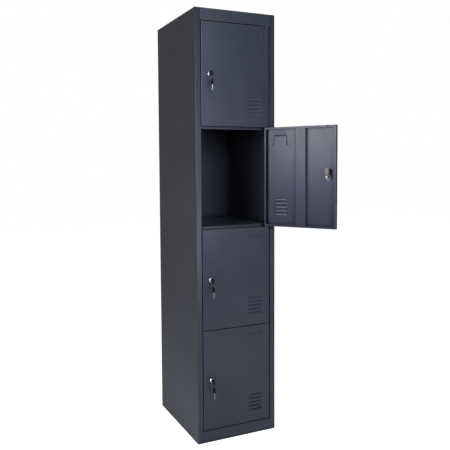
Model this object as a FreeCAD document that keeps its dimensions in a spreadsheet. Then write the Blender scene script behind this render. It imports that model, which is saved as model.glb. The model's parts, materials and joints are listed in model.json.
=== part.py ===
import FreeCAD, Part
import os
import re
import Sketcher

# Locker cabinet: one column of four compartments, each with its own door, cam lock and pair of keys.
# Millimetres.  The sizes are taken from the left, front, bottom corner of the cabinet, and every
# sub-part's Placement then puts the origin at the middle of the base, on the floor.
# +X is to the right, +Y goes into the cabinet and +Z is up.

SIZES = {
    # overall
    "width": 380,
    "depth": 450,
    "height": 1850,
    "sheet": 0.8,
    # front frame
    "stile": 24,
    "rebate": 10,
    "rear_flange": 15,
    "top_rail": 50,
    "plinth": 52,
    # base frame
    "base_flange": 23,
    # shelves
    "shelf_lip": 21,
    "shelf_hem": 8,
    "shelf_flange": 15,
    "floor_rise": 12,  # compartment floor above the plinth
    # doors
    "door_gap": 3,
    "latch_gap": 3,
    "hinge_gap": 4,
    "door_depth": 18,
    "stop_gap": 4,  # behind a closed door, to the rebate
    "door_lip": 9,
    "open_1": 0,
    "open_2": 125,
    "open_3": 0,
    "open_4": 0,
    "lip_hole_radius": 3,
    "lip_hole_inset": 36,
    # door stiffener
    "hat_offset": 5.5,  # from the door's middle, towards its free edge
    "hat_width": 46,
    "hat_back": 2,  # in front of the door's inner lip
    "hat_flange": 8,
    # louvres
    "louvre_gap": 32,  # from the stiffener
    "louvre_inset": 41,  # from the door's hinge edge
    "louvre_rise": 51,
    "louvre_pitch": 16.6,
    "louvre_slot": 4,
    "louvre_throw": 5,
    "louvre_drop": 3.5,
    # card holder, a pressed channel shaped like an upside-down U
    "card_gap": 35,  # from the stiffener
    "card_tall": 44,
    "card_inset": 38,  # from the door's hinge edge
    "card_drop": 34,
    "card_channel": 5,
    "card_press": 1.2,
    # pivots
    "pivot_inset": 8,  # from the door's hinge edge
    "pivot_clearance": 0.4,  # between a bush's collar and the door's skin
    "pin_radius": 2.5,
    "pin_reach": 8,
    "pin_fit": 0.02,
    "tab_width": 16,
    "tab_plate": 2,
    "tab_front": 1,
    "tab_recess": 8,
    "tab_clearance": 1,  # from the rebate
    "bush_clearance": 0.05,
    "bush_wall": 1.4,
    "bush_shoulder": 0.35,
    "bush_length": 6,
    # lock
    "lock_inset": 38,  # from the door's free edge
    "lock_flange_lip": 1.5,  # beyond the barrel
    "lock_proud": 5,
    "barrel_radius": 8,
    "barrel_end_gap": 1,  # to the cam
    "nut_wall": 4.5,  # from the barrel to the nut's corners
    "nut_thick": 4,
    "plug_radius": 5.5,
    "plug_clearance": 0.05,
    "plug_proud": 0.5,
    "cam_gap": 0.6,  # between the rebate's back and the cam
    "cam_thick": 2,
    "cam_width": 18,
    "cam_reach": 38,
    "screw_radius": 2,
    "screw_length": 6,
    "screw_head_radius": 4.5,
    "screw_head_thick": 2.5,
    # keys
    "blade_thick": 2,
    "blade_tall": 7.5,
    "blade_length": 24,
    "key_clearance": 0.12,
    "key_shoulder": 1,  # air between the plug's face and the bow
    "bow_thick": 4,
    "bow_tall": 21,
    "bow_length": 25,
    "bow_hole_radius": 2.6,
    "bow_hole_edge": 5,
    # split ring
    "ring_radius": 13.5,
    "ring_wire": 0.8,
    "ring_play": 0.5,
}

DOORS = 4

# what follows from the sizes above
DERIVED = {
    "setback": "door_depth + stop_gap",
    "lip_front": "setback + sheet",
    "door_tall": f"(height - top_rail - plinth - {DOORS + 1}*door_gap)/{DOORS}",
    "door_left": "stile + latch_gap",
    "door_right": "width - stile - hinge_gap",
    "bush_radius": "pin_radius + bush_clearance + bush_wall",
    "collar_radius": "bush_radius + bush_shoulder",
    "pivot_x": "door_right - pivot_inset",
    "pivot_back": "sheet + collar_radius + pivot_clearance",
    "tab_back": "setback - tab_clearance",
    "hat_left": "(door_left + door_right - hat_width)/2 - hat_offset",
    "hat_right": "hat_left + hat_width",
    "hat_crown": "door_depth - hat_back",
    "louvre_left": "hat_right + hat_flange + louvre_gap",
    "louvre_right": "door_right - louvre_inset",
    "card_left": "hat_right + hat_flange + card_gap",
    "card_right": "door_right - card_inset",
    "lock_x": "door_left + lock_inset",
    "lock_z": "door_tall/2",
    "lock_hole_radius": "barrel_radius + plug_clearance",
    "cam_front": "setback + sheet + cam_gap",
    "cam_back": "cam_front + cam_thick",
    "barrel_back": "cam_front - barrel_end_gap",
    "plug_face": "lock_proud + plug_proud",
    # the inserted key's bow ends this far in front of the door's face
    "bow_front": "plug_face + key_shoulder + bow_length",
    "hole_y": "bow_hole_edge - bow_front",
    # from the middle of a bow's hole to the middle of the ring's wire, with the one hanging from the other
    "hang": "bow_hole_radius - ring_wire - ring_play",
}

doc = FreeCAD.newDocument("locker_cabinet")
sheet = doc.addObject("Spreadsheet::Sheet", "Sizes")
for row, (alias, value) in enumerate(SIZES.items(), start=1):
    sheet.set(f"A{row}", alias)
    sheet.set(f"B{row}", str(value))
    sheet.setAlias(f"B{row}", alias)
doc.recompute()


# ---- expressions -------------------------------------------------------------------------------


def cell(word):
    if word in DERIVED:
        return f"({bound(DERIVED[word])})"
    return f"Sizes.{word}" if word in SIZES else word


def bound(text):
    """An expression with each size's name turned into its cell, and each derived name worked out."""
    return re.sub(r"[a-z]\w*", lambda found: cell(found[0]), text)


def number(text):
    """The value of an expression now, as a plain number."""
    return float(sheet.evalExpression(bound(text)))


# ---- sketches, pads and pockets ----------------------------------------------------------------


def rectangle(x_low, y_low, x_high, y_high):
    return [(x_low, y_low), (x_high, y_low), (x_high, y_high), (x_low, y_high)]


def disc(x, y, radius):
    return {"centre": (x, y), "radius": radius}


def pin_point(sketch, geometry, point, x, y):
    """Bind one point of a sketch to two expressions, from the sketch's origin."""
    for kind, text in (("DistanceX", x), ("DistanceY", y)):
        index = sketch.addConstraint(Sketcher.Constraint(kind, -1, 1, geometry, point, number(text)))
        sketch.setExpression(f"Constraints[{index}]", bound(text))


def draw_outline(sketch, points):
    places = [FreeCAD.Vector(number(x), number(y), 0) for x, y in points]
    first = sketch.GeometryCount
    for start, end in zip(places, places[1:] + places[:1]):
        sketch.addGeometry(Part.LineSegment(start, end))
    for step, (x, y) in enumerate(points):
        previous = first + (step - 1) % len(points)
        sketch.addConstraint(Sketcher.Constraint("Coincident", previous, 2, first + step, 1))
        pin_point(sketch, first + step, 1, x, y)


def draw_disc(sketch, shape):
    x, y = shape["centre"]
    centre = FreeCAD.Vector(number(x), number(y), 0)
    radius = shape["radius"]
    index = sketch.addGeometry(Part.Circle(centre, FreeCAD.Vector(0, 0, 1), number(radius)))
    pin_point(sketch, index, 3, x, y)
    rule = sketch.addConstraint(Sketcher.Constraint("Radius", index, number(radius)))
    sketch.setExpression(f"Constraints[{rule}]", bound(radius))


def draw(body, plane, level, shapes):
    """A sketch of outlines and discs on the body's own plane, at a level along that plane's axis."""
    sketch = body.newObject("Sketcher::SketchObject", f"{body.Label}_sketch")
    role = f"{plane}_Plane"
    sketch.AttachmentSupport = [(next(f for f in body.Origin.OriginFeatures if f.Role == role), "")]
    sketch.MapMode = "FlatFace"
    # The normal of the XZ plane points along -Y.
    sign = "-" if plane == "XZ" else ""
    sketch.setExpression("AttachmentOffset.Base.z", bound(f"{sign}({level})"))
    for shape in shapes:
        if isinstance(shape, dict):
            draw_disc(sketch, shape)
        else:
            draw_outline(sketch, shape)
    return sketch


def add(body, plane, low, high, *shapes):
    """Material from low to high along the plane's axis."""
    pad = body.newObject("PartDesign::Pad", f"{body.Label}_pad")
    pad.Profile = draw(body, plane, low, shapes)
    pad.setExpression("Length", bound(f"({high}) - ({low})"))
    pad.Reversed = plane == "XZ"
    body.Tip = pad


def cut(body, plane, low, high, *shapes):
    """A hollow from low to high along the plane's axis."""
    pocket = body.newObject("PartDesign::Pocket", f"{body.Label}_pocket")
    pocket.Profile = draw(body, plane, low, shapes)
    pocket.setExpression("Length", bound(f"({high}) - ({low})"))
    pocket.Reversed = plane != "XZ"
    body.Tip = pocket


def round_edges(body, radius, wanted):
    """Round the tip's edges for which wanted(edge) is true."""
    doc.recompute()
    base = body.Tip
    names = [f"Edge{i}" for i, edge in enumerate(base.Shape.Edges, start=1) if wanted(edge)]
    fillet = body.newObject("PartDesign::Fillet", f"{body.Label}_fillet")
    fillet.Base = (base, names)
    fillet.setExpression("Radius", bound(radius))
    body.Tip = fillet


# ---- sub-parts and their places ----------------------------------------------------------------

nodes = []


def new_body(name):
    body = doc.addObject("PartDesign::Body", name)
    body.Label = name
    nodes.append(body)
    return body


def place(piece, x="0", y="0", z="0", door=None):
    """Put a piece's own origin at a point of the cabinet; a door's piece turns with its door."""
    if door is None:
        piece.setExpression("Placement.Base.x", bound(f"({x}) - width/2"))
        piece.setExpression("Placement.Base.y", bound(f"({y}) - depth/2"))
        piece.setExpression("Placement.Base.z", bound(z))
        return
    turn = f"open_{door}"
    along = f"(({x}) - pivot_x)"
    back = f"(({y}) - pivot_back)"
    piece.setExpression(
        "Placement.Base.x",
        bound(f"pivot_x - width/2 + {along}*cos({turn}) - {back}*sin({turn})"),
    )
    piece.setExpression(
        "Placement.Base.y",
        bound(f"pivot_back - depth/2 + {along}*sin({turn}) + {back}*cos({turn})"),
    )
    piece.setExpression("Placement.Base.z", bound(f"{door_bottom(door)} + {z}"))
    piece.setExpression("Placement.Rotation.Angle", bound(turn))


def group(name, pieces):
    """Several separate solids that share one node."""
    compound = doc.addObject("Part::Compound", name)
    compound.Label = name
    compound.Links = pieces
    nodes.append(compound)
    return compound


def gap_middle(below):
    """The height of the middle of the gap that has this many doors below it."""
    return f"(plinth + door_gap/2 + {below}*(door_tall + door_gap))"


def door_bottom(door):
    return f"({gap_middle(DOORS - door)} + door_gap/2)"


# ---- cabinet -----------------------------------------------------------------------------------


def make_side_panel(name, across):
    """One folded sheet.  across() turns a distance from the left into this side's X."""
    panel = new_body(name)
    profile = [
        ("0", "0"),
        ("stile", "0"),
        ("stile", "setback"),
        ("stile + rebate", "setback"),
        ("stile + rebate", "setback + sheet"),
        ("stile - sheet", "setback + sheet"),
        ("stile - sheet", "sheet"),
        ("sheet", "sheet"),
        ("sheet", "depth - 2*sheet"),
        ("rear_flange", "depth - 2*sheet"),
        ("rear_flange", "depth - sheet"),
        ("sheet", "depth - sheet"),
        ("sheet", "depth"),
        ("0", "depth"),
    ]
    add(panel, "XY", "0", "height", [(across(x), y) for x, y in profile])
    # The top sheet lies on the flanges, between the wall and the stile's face.
    seat = [("sheet", "sheet"), ("stile + 2*rebate", "sheet")]
    seat += [("stile + 2*rebate", "depth - sheet"), ("sheet", "depth - sheet")]
    cut(panel, "XY", "height - sheet", "height + 1", [(across(x), y) for x, y in seat])
    place(panel)


def make_back_panel():
    panel = doc.addObject("Part::Box", "back_panel")
    panel.Label = "back_panel"
    panel.setExpression("Length", bound("width - 2*sheet"))
    panel.setExpression("Width", bound("sheet"))
    panel.setExpression("Height", bound("height"))
    nodes.append(panel)
    place(panel, "sheet", "depth - sheet")


def make_top_panel():
    """The top sheet, with the front rail folded down from it and returned behind."""
    panel = new_body("top_panel")
    top = rectangle("sheet", "sheet", "width - sheet", "depth - sheet")
    add(panel, "XY", "height - sheet", "height", top)
    rail = [
        ("0", "height"),
        ("0", "height - top_rail"),
        ("setback", "height - top_rail"),
        ("setback", "height - top_rail + sheet"),
        ("sheet", "height - top_rail + sheet"),
        ("sheet", "height"),
    ]
    add(panel, "YZ", "stile", "width - stile", rail)
    place(panel)


def make_base_frame():
    """A folded ring, C-shaped in section, that stands on the floor between the stiles."""
    frame = new_body("base_frame")

    def ring(inset):
        """The ring's outline, moved inwards.  It steps round a stile and its rebate at each front corner."""
        corner = [
            ("stile", inset),
            ("stile", f"setback - {inset}"),
            ("stile + rebate", f"setback - {inset}"),
            ("stile + rebate", f"lip_front + {inset}"),
            ("sheet", f"lip_front + {inset}"),
            ("sheet", f"depth - 2*sheet - {inset}"),
        ]
        right = [(f"width - ({x}) - {inset}", y) for x, y in corner]
        left = [(f"{x} + {inset}", y) for x, y in reversed(corner)]
        return right + left

    add(frame, "XY", "0", "plinth", ring("0"))
    cut(frame, "XY", "sheet", "plinth - sheet", ring("sheet"))
    window = rectangle(
        "stile + base_flange",
        "lip_front + base_flange",
        "width - stile - base_flange",
        "depth - 2*sheet - base_flange",
    )
    cut(frame, "XY", "-1", "plinth + 1", window)
    place(frame)


def make_shelf(name, level, lip):
    """A shelf whose upper face is at level, with a hemmed lip in front and flanges all round."""
    shelf = new_body(name)
    back = "(depth - 2*sheet)"
    profile = [
        ("lip_front", "0"),
        (back, "0"),
        (back, f"-({lip})"),
        (f"{back} - sheet", f"-({lip})"),
        (f"{back} - sheet", "-sheet"),
        ("lip_front + sheet", "-sheet"),
        ("lip_front + sheet", f"sheet - ({lip})"),
        ("lip_front + shelf_hem", f"sheet - ({lip})"),
        ("lip_front + shelf_hem", f"-({lip})"),
        ("lip_front", f"-({lip})"),
    ]
    add(shelf, "YZ", "sheet", "width - sheet", profile)
    left = rectangle("sheet", "lip_front", "2*sheet", back)
    right = rectangle("width - 2*sheet", "lip_front", "width - sheet", back)
    add(shelf, "XY", f"-({lip})", "-sheet/2", left, right)
    place(shelf, z=level)


def tab_heights():
    """The lower face of each hinge tab, from the bottom up; the end ones lie on the frame."""
    heights = ["plinth"]
    heights += [f"({gap_middle(below)} - tab_plate/2)" for below in range(1, DOORS)]
    return heights + ["(height - top_rail - tab_plate)"]


def make_hinge_tabs():
    """A nose that shows in each gap, and a root behind the door's edge, welded to the stile."""
    tabs = []
    for index, level in enumerate(tab_heights()):
        tab = doc.addObject("PartDesign::Body", f"hinge_tab_{index}")
        nose_left = "(pivot_x - tab_width/2)"
        nose_right = "(pivot_x + tab_width/2)"
        profile = [
            (nose_left, "tab_front"),
            (nose_right, "tab_front"),
            (nose_right, "tab_recess"),
            ("width - stile", "tab_recess"),
            ("width - stile", "tab_back"),
            (nose_left, "tab_back"),
        ]
        add(tab, "XY", "0", "tab_plate", profile, disc("pivot_x", "pivot_back", "pin_radius + pin_fit"))
        place(tab, z=level)
        tabs.append(tab)
    group("hinge_tabs", tabs)


def make_hinge_pins():
    """Each pin is fixed in its tab and reaches into the doors above and below it."""
    pins = []
    for below in range(DOORS + 1):
        low = "plinth" if below == 0 else f"{gap_middle(below)} - pin_reach"
        high = "height - top_rail" if below == DOORS else f"{gap_middle(below)} + pin_reach"
        pin = doc.addObject("Part::Cylinder", f"hinge_pin_{below}")
        pin.setExpression("Radius", bound("pin_radius"))
        pin.setExpression("Height", bound(f"({high}) - ({low})"))
        place(pin, "pivot_x", "pivot_back", low)
        pins.append(pin)
    group("hinge_pins", pins)


# ---- doors -------------------------------------------------------------------------------------


def louvre_rows():
    """The height of each louvre's slot above the door's bottom."""
    return [f"(louvre_rise + {row}*louvre_pitch)" for row in range(5)]


def card_channel(inset):
    """An upside-down U with its legs turned out at the foot, moved inwards from the channel's edge."""
    left = f"(card_left + {inset})"
    right = f"(card_right - {inset})"
    top = f"(door_tall - card_drop - {inset})"
    foot = f"(door_tall - card_drop - card_tall + {inset})"
    thick = f"(card_channel - 2*{inset})"
    return [
        (left, foot),
        (f"{left} + {thick}", foot),
        (f"{left} + {thick}", f"{top} - {thick}"),
        (f"{right} - {thick}", f"{top} - {thick}"),
        (f"{right} - {thick}", foot),
        (right, foot),
        (right, top),
        (left, top),
    ]


def make_door_shell(door):
    """A folded pan: skin, four edges and an inner lip, with its louvres and card holder pressed in."""
    shell = new_body(f"door_{door}_shell")
    add(shell, "XZ", "0", "door_depth", rectangle("door_left", "0", "door_right", "door_tall"))
    hollow = rectangle("door_left + sheet", "sheet", "door_right - sheet", "door_tall - sheet")
    cut(shell, "XZ", "sheet", "door_depth - sheet", hollow)
    mouth = rectangle("door_left + door_lip", "door_lip", "door_right - door_lip", "door_tall - door_lip")
    cut(shell, "XZ", "door_depth - 2*sheet", "door_depth + 1", mouth)
    # card holder: a boss inside, and the channel that is pressed into it from the front
    add(shell, "XZ", "sheet/2", "sheet + card_press", card_channel("0"))
    cut(shell, "XZ", "-1", "card_press", card_channel("sheet"))
    # louvres: a slot in the skin, and the blade that is pushed inwards from its upper edge
    slots = [rectangle("louvre_left", z, "louvre_right", f"{z} + louvre_slot") for z in louvre_rows()]
    cut(shell, "XZ", "-1", "2*sheet", *slots)
    blades = []
    for z in louvre_rows():
        top = f"({z} + louvre_slot)"
        blades.append(
            [
                ("0", top),
                ("0", f"{top} + sheet"),
                ("sheet", f"{top} + sheet"),
                ("sheet + louvre_throw", f"{top} + sheet - louvre_drop"),
                ("sheet + louvre_throw", f"{top} - louvre_drop"),
                ("sheet", top),
            ]
        )
    add(shell, "YZ", "louvre_left", "louvre_right", *blades)
    # lock hole, pivot holes and the round hole in the upper inner lip
    lock = disc("lock_x", "lock_z", "lock_hole_radius")
    cut(shell, "XZ", "-1", "2*sheet", lock)
    pivot = disc("pivot_x", "pivot_back", "bush_radius")
    cut(shell, "XY", "-1", "door_tall + 1", pivot)
    hole = disc("door_left + lip_hole_inset", "door_tall - door_lip/2", "lip_hole_radius")
    cut(shell, "XZ", "door_depth - 2*sheet", "door_depth + 1", hole)
    place(shell, door=door)


def make_door_stiffener(door):
    """A hat section, its flanges welded to the skin, that runs from edge to edge of the door."""
    hat = new_body(f"door_{door}_stiffener")
    profile = [
        ("hat_left - hat_flange", "sheet"),
        ("hat_left + sheet", "sheet"),
        ("hat_left + sheet", "hat_crown - sheet"),
        ("hat_right - sheet", "hat_crown - sheet"),
        ("hat_right - sheet", "sheet"),
        ("hat_right + hat_flange", "sheet"),
        ("hat_right + hat_flange", "2*sheet"),
        ("hat_right", "2*sheet"),
        ("hat_right", "hat_crown"),
        ("hat_left", "hat_crown"),
        ("hat_left", "2*sheet"),
        ("hat_left - hat_flange", "2*sheet"),
    ]
    add(hat, "XY", "sheet", "door_tall - sheet", profile)
    place(hat, door=door)


def make_door_bushes(door):
    """Two collared bushes, one in the door's lower edge and one in its upper edge."""
    bushes = []
    bore = disc("0", "0", "pin_radius + bush_clearance")
    for end, outer, inner, tip in (
        ("lower", "0", "sheet", "bush_length"),
        ("upper", "door_tall", "door_tall - sheet", "door_tall - bush_length"),
    ):
        bush = doc.addObject("PartDesign::Body", f"door_{door}_bush_{end}")
        low, high = (outer, tip) if end == "lower" else (tip, outer)
        add(bush, "XY", low, high, disc("0", "0", "bush_radius"), bore)
        low, high = (inner, tip) if end == "lower" else (tip, inner)
        add(bush, "XY", low, high, disc("0", "0", "collar_radius"), bore)
        place(bush, "pivot_x", "pivot_back", door=door)
        bushes.append(bush)
    group(f"door_{door}_bushes", bushes)


# ---- locks and keys: each piece's own origin is on the lock's axis, at the door's face ------------


def place_on_lock(piece, door):
    place(piece, "lock_x", "0", "lock_z", door)


def make_lock_housing(door):
    housing = new_body(f"lock_{door}_housing")
    bore = disc("0", "0", "plug_radius + plug_clearance")
    add(housing, "XZ", "-lock_proud", "0", disc("0", "0", "barrel_radius + lock_flange_lip"), bore)
    add(housing, "XZ", "-lock_proud/2", "barrel_back", disc("0", "0", "barrel_radius"), bore)
    place_on_lock(housing, door)


def make_lock_nut(door):
    """A hexagon nut that clamps the housing to the door's skin."""
    nut = new_body(f"lock_{door}_nut")
    reach = "(barrel_radius + nut_wall)"
    corners = [(f"{reach}*cos({60 * k})", f"{reach}*sin({60 * k})") for k in range(6)]
    add(nut, "XZ", "sheet", "sheet + nut_thick", corners, disc("0", "0", "lock_hole_radius"))
    place_on_lock(nut, door)


def make_lock_plug(door):
    """The turning core, with a keyway in front and a tapped hole behind for the cam's screw."""
    plug = new_body(f"lock_{door}_plug")
    add(plug, "XZ", "-plug_face", "cam_front", disc("0", "0", "plug_radius"))
    half_wide = "(blade_thick/2 + key_clearance)"
    half_tall = "(blade_tall/2 + key_clearance)"
    keyway = rectangle(f"-{half_wide}", f"-{half_tall}", half_wide, half_tall)
    keyway_end = "(blade_length - plug_face - key_shoulder + 2*key_clearance)"
    cut(plug, "XZ", "-plug_face - 1", keyway_end, keyway)
    tapped = disc("0", "0", "screw_radius + pin_fit")
    cut(plug, "XZ", "cam_back - screw_length - 2*key_clearance", "cam_front + 1", tapped)
    place_on_lock(plug, door)


def make_lock_cam(door):
    """A flat cam that points up when the lock is open."""
    cam = new_body(f"lock_{door}_cam")
    eye = disc("0", "0", "screw_radius + pin_fit")
    add(cam, "XZ", "cam_front", "cam_back", disc("0", "0", "cam_width/2"))
    add(cam, "XZ", "cam_front", "cam_back", rectangle("-cam_width/2", "0", "cam_width/2", "cam_reach"))
    cut(cam, "XZ", "cam_front - 1", "cam_back + 1", eye)
    round_edges(cam, "cam_width/4", is_cam_corner)
    place_on_lock(cam, door)


def is_cam_corner(edge):
    box = edge.BoundBox
    return box.ZMin > number("cam_reach - 1") and box.YLength > number("cam_thick/2")


def make_lock_screw(door):
    screw = new_body(f"lock_{door}_screw")
    add(screw, "XZ", "cam_back - screw_length", "cam_back", disc("0", "0", "screw_radius"))
    add(screw, "XZ", "cam_back", "cam_back + screw_head_thick", disc("0", "0", "screw_head_radius"))
    place_on_lock(screw, door)


def draw_key(body, lay):
    """A key in the YZ plane.  lay() turns (from the bow's far end, from the middle line) into (y, z)."""
    bow = rectangle("0", "-bow_tall/2", "bow_length", "bow_tall/2")
    tip = "(bow_length + blade_length)"
    blade = [
        ("bow_length - blade_thick", "-blade_tall/2"),
        (f"{tip} - blade_tall/2", "-blade_tall/2"),
        (tip, "0"),
        (f"{tip} - blade_tall/2", "blade_tall/2"),
        ("bow_length - blade_thick", "blade_tall/2"),
    ]
    hole = lay("bow_hole_edge", "0")
    bow_outline = [lay(u, v) for u, v in bow]
    add(body, "YZ", "-bow_thick/2", "bow_thick/2", bow_outline, disc(*hole, "bow_hole_radius"))
    add(body, "YZ", "-blade_thick/2", "blade_thick/2", [lay(u, v) for u, v in blade])


def make_key(door):
    key = new_body(f"key_{door}")
    draw_key(key, lambda u, v: (f"{u} - bow_front", v))
    place_on_lock(key, door)


def make_ring(door):
    """A round wire ring whose own origin is at its top, on the wire's middle line."""
    ring = new_body(f"ring_{door}")
    hoop = ring.newObject("PartDesign::AdditiveTorus", f"ring_{door}_hoop")
    hoop.setExpression("Radius1", bound("ring_radius"))
    hoop.setExpression("Radius2", bound("ring_wire"))
    # The hoop's axis is turned from Z to Y.
    hoop.Placement = FreeCAD.Placement(FreeCAD.Vector(), FreeCAD.Rotation(FreeCAD.Vector(1, 0, 0), 90))
    ring.Tip = hoop
    place(ring, "lock_x", "hole_y", "(lock_z - hang - ring_radius)", door)


def make_spare_key(door):
    """The second key, which hangs blade down from the lowest point of the ring."""
    spare = new_body(f"spare_{door}")
    draw_key(spare, lambda u, v: (v, f"bow_hole_edge - ({u})"))
    place(spare, "lock_x", "hole_y", "(lock_z - 2*hang - 2*ring_radius)", door)


def make_everything():
    make_side_panel("left_side_panel", lambda x: x)
    make_side_panel("right_side_panel", lambda x: f"width - ({x})")
    make_back_panel()
    make_top_panel()
    make_base_frame()
    make_shelf("floor_panel", "plinth + floor_rise", "floor_rise")
    for shelf in range(1, DOORS):
        level = f"{gap_middle(DOORS - shelf)} + shelf_lip/2"
        make_shelf(f"shelf_{shelf}", level, "shelf_lip")
    make_hinge_tabs()
    make_hinge_pins()
    for door in range(1, DOORS + 1):
        make_door_shell(door)
        make_door_stiffener(door)
        make_door_bushes(door)
        make_lock_housing(door)
        make_lock_nut(door)
        make_lock_plug(door)
        make_lock_cam(door)
        make_lock_screw(door)
        make_key(door)
        make_ring(door)
        make_spare_key(door)


def check_features():
    """Stop if any object failed, or if a pad added nothing or a pocket cut nothing."""
    for item in doc.Objects:
        if "Invalid" in item.State or "Error" in item.State:
            raise RuntimeError(f"{item.Label} failed: {item.State}")
        base = getattr(item, "BaseFeature", None)
        if base is None or item.TypeId == "PartDesign::Body":
            continue
        change = item.Shape.Volume - base.Shape.Volume
        if item.TypeId == "PartDesign::Pad" and change <= 0:
            raise RuntimeError(f"{item.Label} adds nothing")
        if item.TypeId == "PartDesign::Pocket" and change >= 0:
            raise RuntimeError(f"{item.Label} cuts nothing")


def export():
    os.makedirs("parts", exist_ok=True)
    for node in nodes:
        shape = node.Shape
        if shape.isNull() or not shape.isValid() or not shape.Solids:
            raise RuntimeError(f"{node.Label} has no valid solid")
    for node in nodes:
        node.Shape.exportStep(f"parts/{node.Label}.step")


make_everything()
doc.recompute()
check_features()
export()
print(len(nodes), "nodes written")
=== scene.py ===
import json
import math

import bmesh
import bpy
from mathutils import Matrix, Vector


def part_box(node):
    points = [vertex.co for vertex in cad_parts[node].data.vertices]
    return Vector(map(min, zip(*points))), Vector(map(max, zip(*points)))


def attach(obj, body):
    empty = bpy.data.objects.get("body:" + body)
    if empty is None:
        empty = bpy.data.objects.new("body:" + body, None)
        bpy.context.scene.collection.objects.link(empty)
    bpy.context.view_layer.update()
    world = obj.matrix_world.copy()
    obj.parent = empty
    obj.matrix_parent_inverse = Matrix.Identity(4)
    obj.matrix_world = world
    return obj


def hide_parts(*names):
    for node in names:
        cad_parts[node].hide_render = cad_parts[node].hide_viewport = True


# Locker cabinet: one column of four compartments with pressed doors, cam locks and pairs of keys.
# Metres.  The cabinet's own frame has +X to the right, +Y to the back and +Z up.  A door's own frame
# starts at its free lower front corner: x towards the hinges, y towards the compartment, z up.

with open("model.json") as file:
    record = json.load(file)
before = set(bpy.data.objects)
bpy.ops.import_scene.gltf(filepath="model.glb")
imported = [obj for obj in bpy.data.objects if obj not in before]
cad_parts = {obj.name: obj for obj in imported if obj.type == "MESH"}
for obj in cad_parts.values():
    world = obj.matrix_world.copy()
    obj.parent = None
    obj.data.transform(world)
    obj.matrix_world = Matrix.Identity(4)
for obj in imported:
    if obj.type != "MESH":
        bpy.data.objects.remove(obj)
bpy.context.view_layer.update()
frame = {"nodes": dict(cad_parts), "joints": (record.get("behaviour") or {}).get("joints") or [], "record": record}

MM = 0.001
DOORS = (1, 2, 3, 4)
JOINTS = {joint["name"]: joint for joint in frame["joints"]}

# sheet metal
SHEET = 0.8 * MM
FOLD = 0.9 * MM  # inner radius of a fold
FOLD_STEPS = 5
FOLD_OUTER = FOLD + SHEET
WORN_EDGE = 0.7 * MM  # how far a fold's rubbed paint reaches onto the flat
STILE = 24 * MM
REBATE = 10 * MM
REAR_FLANGE = 15 * MM
SHADE_REACH = 24 * MM  # painted shade reaches this far from a fold or a gap
BROKEN_EDGE = 0.3 * MM
PUNCH = 5 * MM  # how far a punch reaches past the sheet
TOP_RAIL = 50 * MM
SHELF_HEM = 8 * MM

# doors
DOOR_LIP = 9 * MM
DOOR_CORNER = 2.6 * MM
LIP_HOLE = 3 * MM
LIP_HOLE_INSET = 36 * MM
PIVOT_HOLE = 3.95 * MM
LOCK_PLAY = 0.05 * MM  # around the barrel

# louvres and card holder, pressed in the door's skin
LOUVRES = 5
LOUVRE_LEFT = 220 * MM
LOUVRE_RIGHT = 284 * MM
LOUVRE_RISE = 51 * MM
LOUVRE_PITCH = 16.6 * MM
LOUVRE_THROW = 5 * MM
LOUVRE_HOOD = 7 * MM
LOUVRE_END = 6.5 * MM
LOUVRE_LAP = 0.6 * MM  # the hood's edge hangs below the slit
LOUVRE_CURVE = (0, 20, 40, 60, 76, 90)  # where grid lines cross a hood, in degrees round it
LOUVRE_END_CURVE = (0, 20, 40, 60, 90)
CARD_LEFT = 223 * MM
CARD_RIGHT = 287 * MM
CARD_DROP = 34 * MM
CARD_TALL = 44 * MM
CARD_CHANNEL = 4.4 * MM
CARD_PRESS = 1.7 * MM
CARD_FOOT = 5 * MM
GUARD = 0.7 * MM  # a grid line this far outside a pressing keeps the flat skin flat

# stiffener
HAT_FLANGE = 8 * MM
HAT_FOLD = 1.2 * MM
WELD = 2.2 * MM
WELD_RIM = 0.15 * MM
WELD_END = 30 * MM
WELD_SINK = 0.02 * MM

# lock
BARREL = 8 * MM
FLANGE = 9.5 * MM
FLANGE_PROUD = 5 * MM
PLUG = 5.5 * MM
PLUG_PROUD = 5.5 * MM
BORE = 5.55 * MM
BARREL_BACK = 22.4 * MM
THREAD_PITCH = 1 * MM
THREAD_DEPTH = 0.4 * MM
NUT_CORNER = 12.5 * MM
NUT_THICK = 4 * MM
CAM_FRONT = 23.4 * MM
CAM_THICK = 2 * MM
CAM_WIDE = 18 * MM
CAM_REACH = 38 * MM
CAM_EDGE = 0.35 * MM
SCREW = 2 * MM
SCREW_LONG = 6 * MM
SCREW_HEAD = 4.5 * MM
SCREW_HEAD_THICK = 2.5 * MM
FIT = 0.02 * MM  # between pieces that are screwed together

# keys
BOW_LONG = 25 * MM
BOW_TALL = 21 * MM
BOW_THICK = 4 * MM
BOW_HOLE = 2.6 * MM
BOW_HOLE_EDGE = 5 * MM
BLADE_TALL = 7.5 * MM
BLADE_THICK = 2 * MM
BLADE_LONG = 24 * MM
BLADE_CUTS = (0.9, 1.9, 1.2, 2.3, 0.7, 1.6)  # depths in mm, from the bow to the tip
KEYWAY_PLAY = 0.12 * MM
KEYWAY_DEEP = 17.8 * MM
BOW_FRONT = 31.5 * MM  # from the door's face to the inserted bow's end
RING_RADIUS = 13.5 * MM
RING_WIRE = 0.8 * MM
RING_FLAT = 1.3  # the wire is this much wider than thick

# studio
GLOW_BEHIND = 0.24
GLOW_BELOW = 0.17
VIEW_PLACE = (-1.149, -2.433, 1.2)
VIEW_ANGLES = (23.63, -3.45, 0.50)  # yaw, pitch and roll in degrees
VIEW_LENS = 46.08
VIEW_SHIFT = (0.0604, -0.0562)


# ---- meshes ------------------------------------------------------------------------------------


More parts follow.
